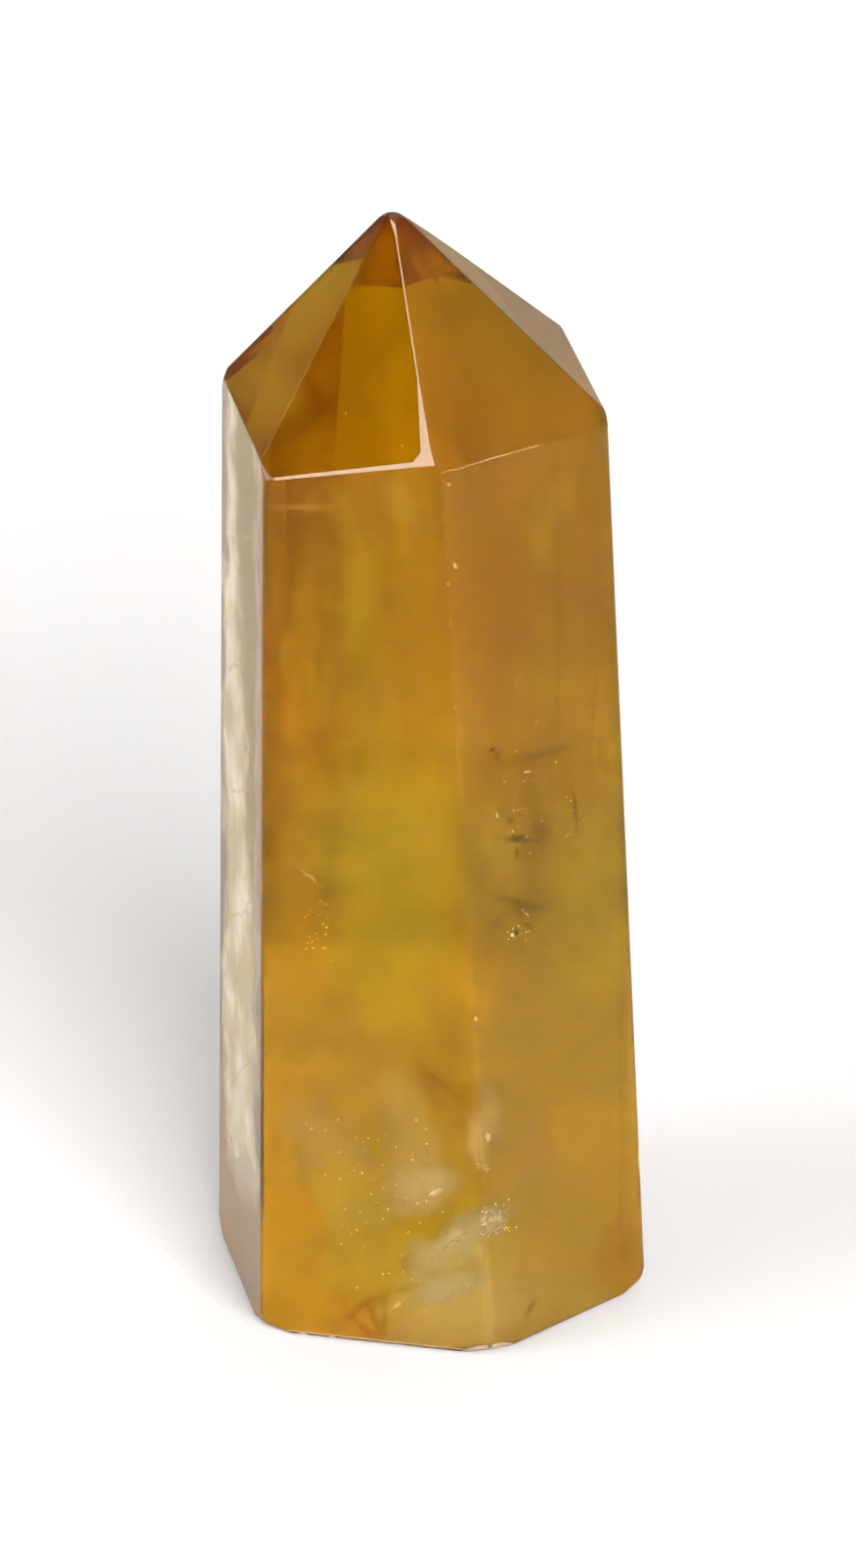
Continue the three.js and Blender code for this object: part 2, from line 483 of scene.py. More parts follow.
stoneFinish = {
    "roughness": 0.03,
    "mirror": 0.04,  # 0.5 leaves the surface the whole mirror of its index, and less dims it
    "mirrorTint": (0.35, 0.35, 0.35),
    "clearColour": (0.29, 0.245, 0.20),  # what the surface lets through
    "absorbColour": (0.988, 0.957, 0.0),  # each colour fades at 1 less this, times the density
    "absorbDensity": 600.0,  # per metre
    "wave": (140, 2.0, 0.0, 1.0),  # the polish's faint unevenness: size, detail and range of noise
    "waveDepth": 0.010 * mm,
    "groundColour": (0.13, 0.09, 0.06),
    "groundClear": 0.1,
    "groundRoughness": 0.45,
    "leftRoughness": 0.22,
    # the pearly veil of the left side, its borders given in the camera's frame
    "pearlColour": (0.33, 0.29, 0.215),
    "pearlShade": (0.22, 0.18, 0.095),
    "oliveColour": (0.12, 0.09, 0.03),
    "pearlClear": 0.25,
    "pearlInner": (262, 800),
    "pearlOuter": (231, 800),
    "oliveBorder": ((242, 500), (262, 1100)),
    "pearlFoot": ((240, 1190), (260, 1228)),
    "pearlHead": (250, 376),
    "pearlSoft": 2.2 * mm,
    "pearlDrift": 3.5 * mm,
    "oliveSoft": 9 * mm,
    # noise, as size, detail and the range it spans
    "pearlCloud": (160, 3.0, 0.40, 0.62),
    "pearlWander": (190, 4.0, 0.3, 0.7),
    # fine cracks across it: a point of each and its slope in degrees, and how far to each side of
    # that point its line is read
    "leftCracks": [((246, 552), 6), ((246, 678), -14), ((246, 806), 8), ((249, 930), 24), ((250, 1092), 55)],
    "crackReach": 8,
    "crackWidth": 0.14 * mm,
    "crackColour": (0.20, 0.16, 0.09),
}


def crackLines(finish, look, height, across, along):
    cracks = 0.0
    reach = look["crackReach"]
    for (x, y), turn in look["leftCracks"]:
        rise = reach * math.tan(math.radians(turn))
        start = insideAt(x - reach, y + rise, 0)
        end = insideAt(x + reach, y - rise, 0)
        line = finish.maths("ABSOLUTE", finish.slantedLine(height, across, start, end, along))
        cracks = finish.maths("MAXIMUM", cracks, finish.spread(line, look["crackWidth"], 0.0))
    return cracks


def leftVeil(finish, look):
    # how pearly and how olive the left side is at each point, and its fine cracks
    inner, outer, head = (insideAt(*look[name], 0) for name in ("pearlInner", "pearlOuter", "pearlHead"))
    footOuter, footInner = (insideAt(*spot, 0) for spot in look["pearlFoot"])
    oliveTop, oliveFoot = (insideAt(*spot, 0) for spot in look["oliveBorder"])
    along = ((inner - outer) * Vector((1, 1, 0))).normalized()
    start, end = outer.dot(along), inner.dot(along)
    soft, oliveSoft = look["pearlSoft"], look["oliveSoft"]
    place = finish.place()
    drift = finish.maths("SUBTRACT", finish.cloud(place, *look["pearlWander"]), 0.5)
    drift = finish.maths("MULTIPLY", drift, look["pearlDrift"])
    across = finish.maths("ADD", finish.dot(place, along), drift)
    height = finish.add("ShaderNodeSeparateXYZ", {"Vector": place}).outputs["Z"]
    height = finish.maths("ADD", height, drift)
    fromOuter = finish.spread(across, start - soft / 2, start + soft / 2)
    fromInner = finish.spread(across, end + soft / 2, end - soft / 2)
    overFoot = finish.slantedLine(height, across, footOuter, footInner, along)
    overFoot = finish.spread(overFoot, -soft, soft)
    underHead = finish.spread(height, head.z + soft, head.z - soft)
    veil = finish.attribute("leftSide")
    for share in (fromOuter, fromInner, overFoot, underHead):
        veil = finish.maths("MULTIPLY", veil, share)
    olive = finish.slantedLine(height, across, oliveTop, oliveFoot, along)
    olive = finish.spread(olive, -oliveSoft, oliveSoft)
    return veil, olive, crackLines(finish, look, height, across, along)


def stoneMaterial(look):
    finish = Finish("clear_yellow_stone")
    ground = finish.attribute("groundFlat")
    left = finish.attribute("leftSide")
    pearl, olive, cracks = leftVeil(finish, look)
    shade = finish.cloud(finish.place(), *look["pearlCloud"])
    pearlColour = finish.mix(shade, look["pearlShade"], look["pearlColour"])
    pearlColour = finish.mix(olive, pearlColour, look["oliveColour"])
    pearlColour = finish.mix(cracks, pearlColour, look["crackColour"])
    colour = finish.mix(pearl, look["clearColour"], pearlColour)
    clear = finish.mix(pearl, 1.0, look["pearlClear"], "FLOAT")
    roughness = finish.mix(left, look["roughness"], look["leftRoughness"], "FLOAT")
    finish.set(
        Base_Color=finish.mix(ground, colour, look["groundColour"]),
        Transmission_Weight=finish.mix(ground, clear, look["groundClear"], "FLOAT"),
        Roughness=finish.mix(ground, roughness, look["groundRoughness"], "FLOAT"),
        Normal=finish.bump(finish.cloud(finish.place(), *look["wave"]), 1.0, look["waveDepth"]),
        IOR=refraction,
        Specular_IOR_Level=look["mirror"],
        Specular_Tint=look["mirrorTint"],
    )
    inputs = {"Color": look["absorbColour"], "Density": look["absorbDensity"]}
    absorb = finish.add("ShaderNodeVolumeAbsorption", inputs)
    feedSocket(finish.tree, finish.output.inputs["Volume"], absorb.outputs["Volume"])
    return finish.material


stone.data.materials.clear()
stone.data.materials.append(stoneMaterial(stoneFinish))
print("stone finished")


class Tree(Nodes):
    # a geometry node tree with named inputs, run once to make a plain mesh
    def __init__(self, name, inputs):
        super().__init__(bpy.data.node_groups.new(name, "GeometryNodeTree"))
        sockets = self.tree.interface
        sockets.new_socket(name="Geometry", in_out="OUTPUT", socket_type="NodeSocketGeometry")
        self.identifiers = {}
        for label, kind in inputs.items():
            made = sockets.new_socket(name=label, in_out="INPUT", socket_type="NodeSocket" + kind)
            self.identifiers[label] = made.identifier
        self.inputs = self.tree.nodes.new("NodeGroupInput").outputs
        self.end = self.tree.nodes.new("NodeGroupOutput")

    def random(self, kind, low, high, seed):
        inputs = {"Min": low, "Max": high, "Seed": seed}
        node = self.add("FunctionNodeRandomValue", inputs, data_type=kind)
        return [socket for socket in node.outputs if socket.enabled][0]

    def finish(self, geometry, material):
        solid = self.add("GeometryNodeRealizeInstances", {"Geometry": geometry}).outputs["Geometry"]
        dressed = self.add("GeometryNodeSetMaterial", {"Geometry": solid, "Material": material})
        self.tree.links.new(dressed.outputs["Geometry"], self.end.inputs["Geometry"])

    def run(self, name, values):
        piece = objectFrom(name, bpy.data.meshes.new(name + "_start"))
        modifier = piece.modifiers.new(self.tree.name, "NODES")
        modifier.node_group = self.tree
        for label, value in values.items():
            modifier[self.identifiers[label]] = value
        evaluated = piece.evaluated_get(bpy.context.evaluated_depsgraph_get())
        mesh = bpy.data.meshes.new_from_object(evaluated)
        piece.modifiers.clear()
        piece.data = mesh
        mesh.name = name
        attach(piece, "root")
        print(name, "has", len(mesh.polygons), "faces")
        return piece


def keepInside(tree, geometry):
    # drops what is outside the stone or nearer its surface than the margin, and gives the depth
    # past that margin
    body = tree.add("GeometryNodeObjectInfo", {"Object": tree.inputs["Stone"]}).outputs["Geometry"]
    place = tree.add("GeometryNodeInputPosition").outputs["Position"]
    up = (0.0, 0.0, 1.0)
    ray = tree.add("GeometryNodeRaycast", {
        "Target Geometry": body, "Source Position": place, "Ray Direction": up, "Ray Length": 1.0,
    })
    leaving = tree.maths("GREATER_THAN", tree.dot(ray.outputs["Hit Normal"], up), 0.0)
    depth = tree.add("GeometryNodeProximity", {0: body}).outputs["Distance"]
    deep = tree.maths("GREATER_THAN", depth, tree.inputs["Margin"])
    inside = tree.maths("MULTIPLY", tree.maths("MULTIPLY", ray.outputs["Is Hit"], leaving), deep)
    waste = tree.maths("SUBTRACT", 1.0, inside)
    kept = tree.add("GeometryNodeDeleteGeometry", {"Geometry": geometry, "Selection": waste})
    return kept.outputs["Geometry"], tree.maths("SUBTRACT", depth, tree.inputs["Margin"])


def filmTree():
    # upright wavy films inside the stone, in rings of one film to each side
    tree = Tree("hazeFilms", {
        "Count": "Int", "Per Ring": "Int", "First Turn": "Float", "Turn Step": "Float",
        "Outer Reach": "Float", "Ring Gap": "Float", "Width": "Float", "Height": "Float",
        "Columns": "Int", "Rows": "Int", "Tilt": "Float", "Wave": "Float", "Wave Size": "Float",
        "Margin": "Float", "Fade": "Float", "Seed": "Int", "Stone": "Object", "Material": "Material",
    })
    inputs = tree.inputs
    order = tree.add("GeometryNodeInputIndex").outputs["Index"]
    safeOrder = tree.maths("ADD", order, 0.01)  # so that a whole ring never falls just short
    ring = tree.maths("FLOOR", tree.maths("DIVIDE", safeOrder, inputs["Per Ring"]))
    turn = tree.maths("ADD", inputs["First Turn"], tree.maths("MULTIPLY", order, inputs["Turn Step"]))
    reach = tree.maths("SUBTRACT", inputs["Outer Reach"], tree.maths("MULTIPLY", ring, inputs["Ring Gap"]))
    spot = tree.add("ShaderNodeCombineXYZ", {
        "X": tree.maths("MULTIPLY", tree.maths("COSINE", turn), reach),
        "Y": tree.maths("MULTIPLY", tree.maths("SINE", turn), reach),
        "Z": tree.maths("MULTIPLY", inputs["Height"], 0.5),
    }).outputs["Vector"]
    spots = tree.add("GeometryNodeMeshLine", {"Count": inputs["Count"], "Offset": (0, 0, 0)}).outputs["Mesh"]
    spots = tree.add("GeometryNodeSetPosition", {"Geometry": spots, "Position": spot}).outputs["Geometry"]
    film = tree.add("GeometryNodeMeshGrid", {
        "Size X": inputs["Width"], "Size Y": inputs["Height"],
        "Vertices X": inputs["Columns"], "Vertices Y": inputs["Rows"],
    }).outputs["Mesh"]
    upright = tree.add("ShaderNodeCombineXYZ", {"X": math.pi / 2, "Z": tree.maths("ADD", turn, math.pi / 2)})
    tilt = tree.random("FLOAT_VECTOR", (-1, -1, -1), (1, 1, 1), inputs["Seed"])
    tilt = tree.scaled(tilt, inputs["Tilt"])
    placed = tree.add("GeometryNodeInstanceOnPoints", {
        "Points": spots, "Instance": film,
        "Rotation": tree.vector("ADD", upright.outputs["Vector"], tilt),
    }).outputs["Instances"]
    films = tree.add("GeometryNodeRealizeInstances", {"Geometry": placed}).outputs["Geometry"]
    ripple = tree.add("ShaderNodeTexNoise", {"Scale": inputs["Wave Size"], "Detail": 2.0}).outputs["Color"]
    ripple = tree.scaled(tree.vector("SUBTRACT", ripple, (0.5, 0.5, 0.5)), inputs["Wave"])
    wavy = tree.add("GeometryNodeSetPosition", {"Geometry": films, "Offset": ripple})
    kept, depth = keepInside(tree, wavy.outputs["Geometry"])
    soft = tree.maths("MINIMUM", tree.maths("DIVIDE", depth, inputs["Fade"]), 1.0)
    marked = tree.add("GeometryNodeStoreNamedAttribute", {
        "Geometry": kept, "Name": "softEdge", "Value": soft,
    }, data_type="FLOAT", domain="POINT").outputs["Geometry"]
    smooth = tree.add("GeometryNodeSetShadeSmooth", {"Geometry": marked}).outputs["Geometry"]
    tree.finish(smooth, inputs["Material"])
    return tree


haze = {
    "films": {
        "Count": 18, "Per Ring": 6, "First Turn": math.radians(-168), "Turn Step": math.tau / 6,
        "Outer Reach": 12.8 * mm, "Ring Gap": 4.2 * mm, "Width": 44 * mm, "Height": 96 * mm,
        "Columns": 45, "Rows": 90, "Tilt": 0.12, "Wave": 6 * mm, "Wave Size": 32.0,
        "Margin": 0.15 * mm, "Fade": 1.3 * mm, "Seed": 4,
    },
    "cover": 0.16,  # how much one film hides, where nothing else is said
    "coverChange": 0.24,
    "mostCover": 0.235,  # more in one film would show its outline
    "crownStart": 0.060,  # above this height the stone turns clearer
    "crownEnd": 0.074,
    "crownShare": 0.60,
    "mottle": (480, 5.0, 0.34, 0.62),  # fine cloudiness: size, detail and the range of noise it spans
    "mottleFloor": 0.60,
    "mottleShare": 0.45,
    "cloudSize": (75, 75, 24),
    "cloudContrast": 0.9,
    "wispSize": (210, 210, 60),
    "wispShare": 0.6,
    "tones": [  # height up the stone and the haze's colour there
        (0.000, (1.00, 0.85, 0.09)),
        (0.022, (1.00, 0.83, 0.06)),
        (0.045, (0.94, 0.68, 0.03)),
        (0.064, (0.80, 0.52, 0.02)),
        (0.090, (0.85, 0.38, 0.01)),
    ],
    "oliveTone": (0.90, 0.84, 0.04),
    "oliveSize": (90, 90, 30),
    "oliveFrom": (7, 3, 1),
    "oliveContrast": 1.8,
    "oliveShare": 0.8,
    "crownOlive": 0.8,  # the share of the olive that the crown goes without
    "drift": 2.5 * mm,  # how far the zones' borders wander
    "driftSize": 70,
    "zoneReach": 1.2,  # where a zone ends, in half sizes, fading over the last one
    # each zone: its middle in the camera's frame, its depth and its half sizes across, deep and
    # tall in millimetres, its colour and cover
    "zones": [
        ((395, 1190), 7, (8.5, 10, 9.0), (1.00, 0.97, 0.30), 0.235),
        ((500, 1300), 7, (10.0, 10, 7.0), (1.00, 0.96, 0.30), 0.235),
        ((300, 1270), 6, (5.0, 8, 11.0), (1.00, 0.84, 0.04), 0.235),
        ((630, 1210), 6, (6.0, 9, 9.0), (1.00, 0.80, 0.02), 0.235),
        ((300, 800), 6, (6.0, 9, 24.0), (1.00, 0.64, 0.01), 0.22),
        ((420, 880), 8, (9.0, 9, 14.0), (1.00, 0.92, 0.02), 0.22),
        ((600, 950), 6, (5.0, 9, 14.0), (1.00, 0.90, 0.02), 0.22),
        # painted shade: a darker, browner zone that makes the upper right side darker
        ((555, 590), 6, (8.5, 9, 11.0), (0.74, 0.47, 0.01), 0.22),
        ((300, 1090), 4, (5.0, 7, 7.0), (1.00, 0.86, 0.05), 0.235),
    ],
}


def smoothStep(value):
    value = max(0.0, min(1.0, value))
    return value * value * (3 - 2 * value)


def mixTone(share, low, high):
    return tuple(a + (b - a) * share for a, b in zip(low, high))


def toneAtHeight(tones, height):
    for (low, lowTone), (high, highTone) in zip(tones, tones[1:]):
        if height < high:
            return mixTone(max(0.0, (height - low) / (high - low)), lowTone, highTone)
    return tones[-1][1]


def hazeAt(look, zones, spot):
    # the haze's colour and cover at a point of the stone
    wisp = noise.noise(spot * Vector(look["wispSize"])) * look["wispShare"]
    cloud = noise.noise(spot * Vector(look["cloudSize"])) + wisp
    cloud = smoothStep(cloud * look["cloudContrast"] + 0.5)
    cover = look["cover"] + look["coverChange"] * (cloud - 0.5)
    crown = smoothStep((spot.z - look["crownStart"]) / (look["crownEnd"] - look["crownStart"]))
    cover *= 1 - crown * (1 - look["crownShare"])
    olive = noise.noise(spot * Vector(look["oliveSize"]) + Vector(look["oliveFrom"]))
    olive = smoothStep(olive * look["oliveContrast"] + 0.5)
    olive *= look["oliveShare"] * (1 - look["crownOlive"] * crown)
    tone = mixTone(olive, toneAtHeight(look["tones"], spot.z), look["oliveTone"])
    moved = spot + noise.noise_vector(spot * look["driftSize"]) * look["drift"]
    for middle, size, colour, zoneCover in zones:
        away = moved - middle
        away = math.sqrt(sum((away[axis] / size[axis]) ** 2 for axis in range(3)))
        share = smoothStep(look["zoneReach"] - away)
        tone = mixTone(share, tone, colour)
        cover += (zoneCover - cover) * share
    return tone, min(cover, look["mostCover"])


def hazeMaterial(name):
    finish = Finish(name)
    mottle = finish.cloud(finish.place(), *haze["mottle"])
    mottle = finish.maths("MULTIPLY_ADD", mottle, haze["mottleShare"], haze["mottleFloor"])
    finish.set(
        Base_Color=finish.attribute("hazeTone", "Color"),
        Alpha=finish.maths("MULTIPLY", finish.attribute("hazeCover"), mottle),
        Roughness=1.0,
        Specular_IOR_Level=0.0,
    )
    return finish.material


def markHaze(mesh, tones, covers):
    mesh.attributes.new("hazeTone", "FLOAT_COLOR", "POINT").data.foreach_set("color", tones)
    mesh.attributes.new("hazeCover", "FLOAT", "POINT").data.foreach_set("value", covers)


def makeHaze(look):
    things = {"Stone": stone, "Material": hazeMaterial("honey_haze")}
    mesh = filmTree().run("honey_haze", {**look["films"], **things}).data
    zones = [
        (insideAt(*middle, depth * mm), [half * mm for half in size], colour, cover)
        for middle, depth, size, colour, cover in look["zones"]
    ]
    soft = mesh.attributes["softEdge"].data
    tones = []
    covers = []
    for vertex in mesh.vertices:
        tone, cover = hazeAt(look, zones, vertex.co)
        tones += (*tone, 1.0)
        covers.append(cover * soft[vertex.index].value)
    markHaze(mesh, tones, covers)


makeHaze(haze)
print("haze made")

# what all the small sheets share, with depths in millimetres
sheetShape = {
    "steps": (16, 12),
    "pixelsPerMm": 13.9,
    "layerCover": 0.22,  # soft patches are built up of films that hide this little each
    "layerGap": 0.16,
    "leastDepth": 0.15,
    "wave": 0.25,  # bend, against the lesser of its smaller half size and twice its depth
    "waveSize": 1.7,
    "ragged": 0.5,  # how uneven its outline is
    "raggedSize": 2.6,
    "nextNoise": 0.37,  # how far the noise moves on for each point made before
    "fade": 1.3,  # how steeply the cover falls off towards the outline, and at the sheet's rim
    "rimFade": 6,
}


class Sheets:
    # small bent films inside the stone, joined in one mesh
    def __init__(self):
        self.bm = bmesh.new()
        self.tones = []
        self.covers = []

    def addPoint(self, spot, tone, cover):
        self.tones += (*tone, 1.0)
        self.covers.append(cover)
        return self.bm.verts.new(spot)

    def add(self, middle, halves, turn, depth, tone, cover):
        look = sheetShape
        steps = look["steps"]
        turn = math.radians(turn)
        along = Vector((math.cos(turn), math.sin(turn))) * halves[0]
        across = Vector((-math.sin(turn), math.cos(turn))) * halves[1]
        bend = look["wave"] * min(min(halves) / look["pixelsPerMm"], 2 * depth)
        seed = Vector((len(self.tones), 0, 0)) * look["nextNoise"]
        rows = []
        for i in range(steps[0] + 1):
            row = []
            for j in range(steps[1] + 1):
                u = 2 * i / steps[0] - 1
                v = 2 * j / steps[1] - 1
                at = Vector(middle) + along * u + across * v
                ragged = noise.noise(Vector((u, v, 0)) * look["raggedSize"] + seed) * look["ragged"]
                wave = noise.noise(Vector((u, v, 0)) * look["waveSize"] + seed * 2)
                spot = insideAt(at.x, at.y, max(depth + wave * bend, look["leastDepth"]) * mm)
                edge = min(1.0, (1 - max(abs(u), abs(v))) * look["rimFade"])
                share = smoothStep((1 - math.hypot(u, v) + ragged) * look["fade"]) * edge
                row.append(self.addPoint(spot, tone, share * cover) if spot else None)
            rows.append(row)
        for first, second in zip(rows, rows[1:]):
            for corners in zip(first, second, second[1:], first[1:]):
                if all(corners):
                    self.bm.faces.new(corners)

    def addSoft(self, middle, halves, turn, depth, tone, cover):
        # layers too faint for their outlines to show
        layerCover = sheetShape["layerCover"]
        for layer in range(round(math.log(1 - cover) / math.log(1 - layerCover))):
            deeper = depth + layer * sheetShape["layerGap"]
            self.add(middle, halves, turn, deeper, tone, layerCover)

    def build(self, name, material):
        mesh = bpy.data.meshes.new(name)
        self.bm.to_mesh(mesh)
        self.bm.free()
        markHaze(mesh, self.tones, self.covers)
        for face in mesh.polygons:
            face.use_smooth = True
        mesh.materials.append(material)
        piece = objectFrom(name, mesh)
        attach(piece, "root")
        print(name, "has", len(mesh.polygons), "faces")


patches = {
    # soft patches: middle, half length and half width in the camera's frame, turn in degrees,
    # depth in millimetres, colour and cover
    "soft": [
        # painted shade: a dark brown strip that makes the upper right edge darker
        ((612, 560), (120, 44), 88, 0.8, (0.52, 0.29, 0.01), 0.40),
        ((288, 332), (70, 40), -40, 0.5, (1.00, 0.64, 0.04), 0.45),
        ((420, 1000), (60, 50), 0, 1.6, (1.00, 0.86, 0.08), 0.35),
        ((347, 685), (26, 14), 0, 0.8, (0.50, 0.27, 0.01), 0.40),
        ((537, 928), (46, 24), -12, 1.0, (0.54, 0.36, 0.02), 0.22),
        ((548, 812), (64, 52), -30, 1.3, (0.60, 0.42, 0.03), 0.22),
        ((371, 600), (26, 80), 14, 2.0, (0.94, 0.72, 0.05), 0.24),
        # a painted internal reflection: a thin light line across the left, below the shoulder
        ((320, 519), (60, 5), 0, 0.8, (1.00, 0.80, 0.27), 0.24),
        ((308, 830), (300, 36), 90, 1.2, (0.92, 0.55, 0.01), 0.35),
        ((648, 1100), (260, 14), 90, 0.25, (1.00, 0.72, 0.05), 0.60),
        ((400, 865), (120, 100), 0, 0.35, (1.00, 0.82, 0.06), 0.40),
        ((305, 860), (110, 40), 90, 0.35, (0.96, 0.60, 0.03), 0.22),
        ((516, 880), (110, 36), 88, 0.50, (0.96, 0.68, 0.04), 0.40),
        ((600, 870), (70, 90), 0, 0.50, (1.00, 0.76, 0.06), 0.22),
        ((468, 1269), (62, 17), -33, 0.26, (1.00, 0.92, 0.80), 0.55),
        ((505, 1250), (20, 19), -40, 0.22, (1.00, 0.92, 0.80), 0.55),
        ((452, 1317), (44, 15), -24, 0.26, (1.00, 0.95, 0.95), 0.40),
        ((432, 1212), (36, 20), -14, 0.30, (1.00, 0.92, 0.85), 0.24),
        ((408, 1334), (30, 13), -35, 0.22, (1.00, 0.82, 0.24), 0.40),
        ((250, 375), (44, 90), -40, 0.5, (1.00, 0.72, 0.05), 0.65),
        ((325, 310), (26, 90), 34, 1.0, (1.00, 0.84, 0.16), 0.35),
        ((385, 258), (34, 40), 0, 1.0, (1.00, 0.36, 0.00), 0.22),
        ((445, 276), (40, 26), 35, 0.6, (1.00, 0.44, 0.01), 0.45),
    ],
    # cleavage planes that catch the light, given in the same way, then specks near the front edge and a
    # painted glint on the right edge
    "bright": [
        ((478, 1262), (50, 9), -33, 0.30, (1.00, 0.90, 0.62), 0.40),
        ((502, 1250), (24, 19), -40, 0.25, (1.00, 0.92, 0.68), 0.50),
        ((494, 1196), (9, 7), 12, 0.30, (1.00, 0.86, 0.50), 0.65),
        ((410, 1334), (20, 6), -35, 0.30, (1.00, 0.80, 0.24), 0.50),
        ((446, 1220), (12, 4), -30, 0.30, (1.00, 0.92, 0.62), 1.00),
        ((499, 1164), (4, 10), 0, 0.30, (1.00, 0.90, 0.60), 0.90),
        ((318, 898), (22, 3), 38, 0.40, (1.00, 0.80, 0.35), 0.60),
        ((334, 926), (14, 3), 30, 0.40, (1.00, 0.80, 0.35), 0.60),
        ((509, 835), (5, 2.2), 80, 0.30, (1.00, 0.86, 0.40), 0.55),
        ((540, 790), (6, 2.0), -8, 0.30, (1.00, 0.86, 0.40), 0.50),
        ((580, 856), (7, 3.0), -30, 0.30, (1.00, 0.86, 0.40), 0.60),
        ((533, 829), (13, 2.6), -16, 0.30, (1.00, 0.84, 0.36), 0.35),
        ((594, 768), (12, 2.4), -58, 0.30, (1.00, 0.82, 0.36), 0.35),
        ((537, 934), (8, 2.4), 46, 0.30, (1.00, 0.86, 0.40), 0.50),
        ((524, 957), (4, 3.0), 0, 0.25, (1.00, 0.92, 0.60), 0.90),
        # bright specks just under the front edge
        ((460, 496), (4, 3), 0, 0.20, (0.95, 0.80, 0.50), 0.80),
        ((466, 580), (3, 5), -25, 0.20, (1.00, 0.92, 0.66), 1.00),
        ((487, 1043), (3, 4), 0, 0.20, (1.00, 0.88, 0.56), 0.90),
        # a painted glint: a bright golden fleck along the right edge, where it catches the light
        ((654, 1182), (2, 24), 0, 0.20, (1.00, 0.78, 0.30), 0.90),
    ],
    # the grain in those planes, which runs one way, and its specks; noise is given as size, detail
    # and the range it spans
    "grain": {
        "turn": (0, math.radians(-34), 0),
        "stretch": (3.5, 1, 1),
        "noise": (900, 4.0, 0.32, 0.55),
        "speck": (2400, 2.0, 0.52, 0.66),
        "speckColour": (1.0, 0.95, 0.75),
        "roughness": 0.35,
    },
    # cracks seen edge on, and a painted shadow beside the milky dome
    "dark": [
        ((374, 1362), (24, 3.5), 40, 0.30, (0.40, 0.16, 0.01), 0.60),
        ((366, 1342), (22, 2.9), -35, 0.30, (0.40, 0.16, 0.01), 0.60),
        ((383, 1352), (32, 3.5), 68, 0.30, (0.40, 0.16, 0.01), 0.60),
        ((393, 1350), (35, 2.9), 96, 0.30, (0.40, 0.16, 0.01), 0.60),
        ((380, 1331), (32, 2.6), -24, 0.30, (0.40, 0.16, 0.01), 0.60),
        # a painted shadow: the brown line to the right of the milky dome
        ((454, 1112), (36, 2.2), 40, 0.35, (0.40, 0.18, 0.01), 0.50),
        ((543, 1340), (16, 2.6), -60, 0.30, (0.26, 0.10, 0.01), 0.70),
        ((504, 767), (8, 3.4), -30, 0.25, (0.20, 0.08, 0.01), 0.85),
        ((510, 774), (8, 3.4), 75, 0.25, (0.20, 0.08, 0.01), 0.85),
        ((541, 860), (22, 2.9), 2, 0.40, (0.09, 0.05, 0.01), 0.60),
        ((529, 857), (12, 3.5), -8, 0.40, (0.09, 0.05, 0.01), 0.60),
        ((523, 840), (5, 3.2), 10, 0.30, (0.08, 0.03, 0.01), 0.95),
        ((529, 874), (7, 2.6), 90, 0.30, (0.09, 0.05, 0.01), 0.75),
        ((516, 858), (16, 2.4), 14, 0.40, (0.09, 0.05, 0.01), 0.50),
        ((589, 830), (35, 2.9), 84, 0.40, (0.09, 0.05, 0.01), 0.50),
        ((556, 772), (46, 4.8), -14, 0.50, (0.09, 0.05, 0.01), 0.40),
        ((538, 926), (35, 5.8), 14, 0.40, (0.09, 0.05, 0.01), 0.55),
        ((532, 932), (9, 4.2), 40, 0.30, (0.09, 0.05, 0.01), 0.75),
        ((541, 948), (11, 3.2), 36, 0.30, (0.09, 0.05, 0.01), 0.65),
        ((508, 944), (9, 2.9), -60, 0.30, (0.09, 0.05, 0.01), 0.60),
        ((528, 955), (3, 3.2), 0, 0.25, (0.06, 0.02, 0.01), 0.95),
    ],
}


def grainyMaterial(name, look):
    # a film broken up by grain that runs one way
    finish = Finish(name)
    aligned = finish.add("ShaderNodeMapping", {
        "Vector": finish.place(), "Rotation": look["turn"], "Scale": look["stretch"],
    }, vector_type="TEXTURE").outputs["Vector"]
    speck = finish.cloud(finish.place(), *look["speck"])
    cover = finish.attribute("hazeCover")
    finish.set(
        Base_Color=finish.mix(speck, finish.attribute("hazeTone", "Color"), look["speckColour"]),
        Alpha=finish.maths("MULTIPLY", cover, finish.cloud(aligned, *look["noise"])),
        Roughness=look["roughness"],
    )
    return finish.material


def makePatches(look):
    soft, bright, dark = Sheets(), Sheets(), Sheets()
    for patch in look["soft"]:
        soft.addSoft(*patch)
    for patch in look["bright"]:
        bright.add(*patch)
    for patch in look["dark"]:
        dark.add(*patch)
    soft.build("soft_patches", hazeMaterial("soft_haze"))
    bright.build("bright_cleavage", grainyMaterial("golden_cleavage", look["grain"]))
    dark.build("dark_cracks", hazeMaterial("brown_cracks"))


makePatches(patches)
print("patches and cracks made")

